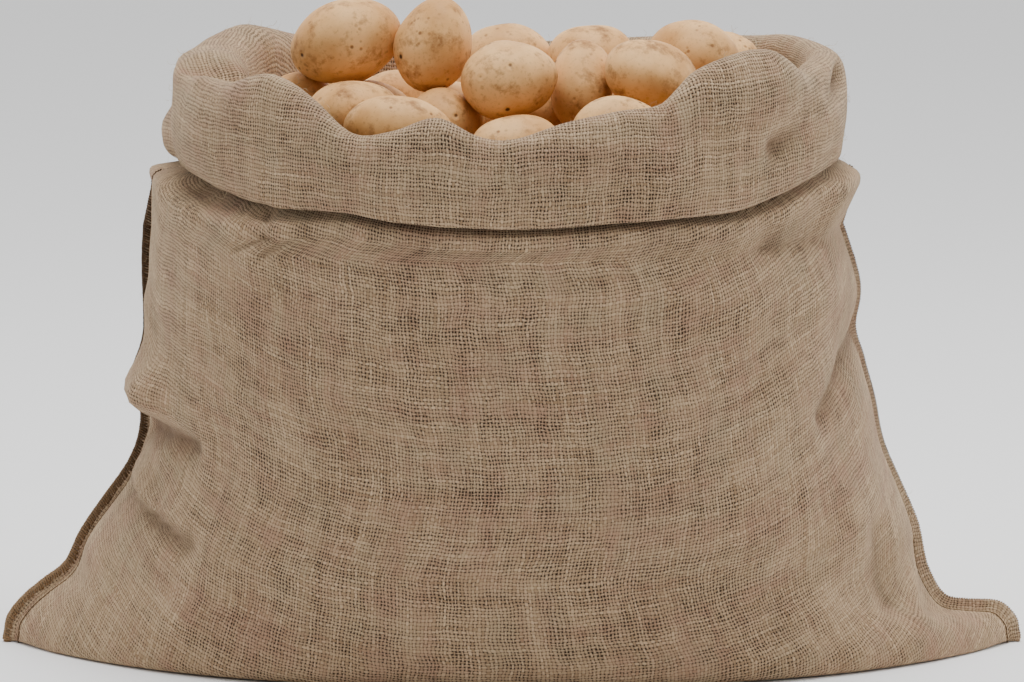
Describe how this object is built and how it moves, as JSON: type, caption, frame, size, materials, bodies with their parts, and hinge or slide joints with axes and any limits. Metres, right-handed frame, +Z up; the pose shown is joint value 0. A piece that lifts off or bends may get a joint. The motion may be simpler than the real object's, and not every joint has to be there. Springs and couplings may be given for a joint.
{
  "type": "hessian sack of potatoes",
  "caption": "Open hessian sack standing on the floor, its mouth rolled into a puffy cuff, side seams ending in splayed corners, heaped with potatoes.",
  "frame": {"origin": "on the floor, midway between the two bottom corners of the sack", "axes": "+X to the sack's right side as seen from the front, along the bottom fold; the front faces -Y; +Z up"},
  "size_m": [0.6512, 0.3177, 0.4173],
  "materials": {
    "hessian": "coarse plain-weave jute, undyed, matt",
    "filling": "plain, hidden under the potatoes",
    "potato": "dry, pale yellow potato skin, satin to matt"
  },
  "bodies": {
    "root": {"sack": "hessian", "potato_fill": "filling", "potato_01": "potato", "potato_02": "potato", "potato_03": "potato", "potato_04": "potato", "potato_05": "potato", "potato_06": "potato", "potato_07": "potato", "potato_08": "potato", "potato_09": "potato", "potato_10": "potato", "potato_11": "potato", "potato_12": "potato", "potato_13": "potato", "potato_14": "potato", "potato_15": "potato", "potato_16": "potato", "potato_17": "potato", "potato_18": "potato", "potato_19": "potato", "potato_20": "potato", "potato_21": "potato", "potato_22": "potato", "potato_23": "potato", "potato_24": "potato", "potato_25": "potato", "potato_26": "potato", "potato_27": "potato", "potato_28": "potato", "potato_29": "potato", "potato_30": "potato", "potato_31": "potato", "potato_32": "potato", "potato_33": "potato"}
  },
  "joints": []
}
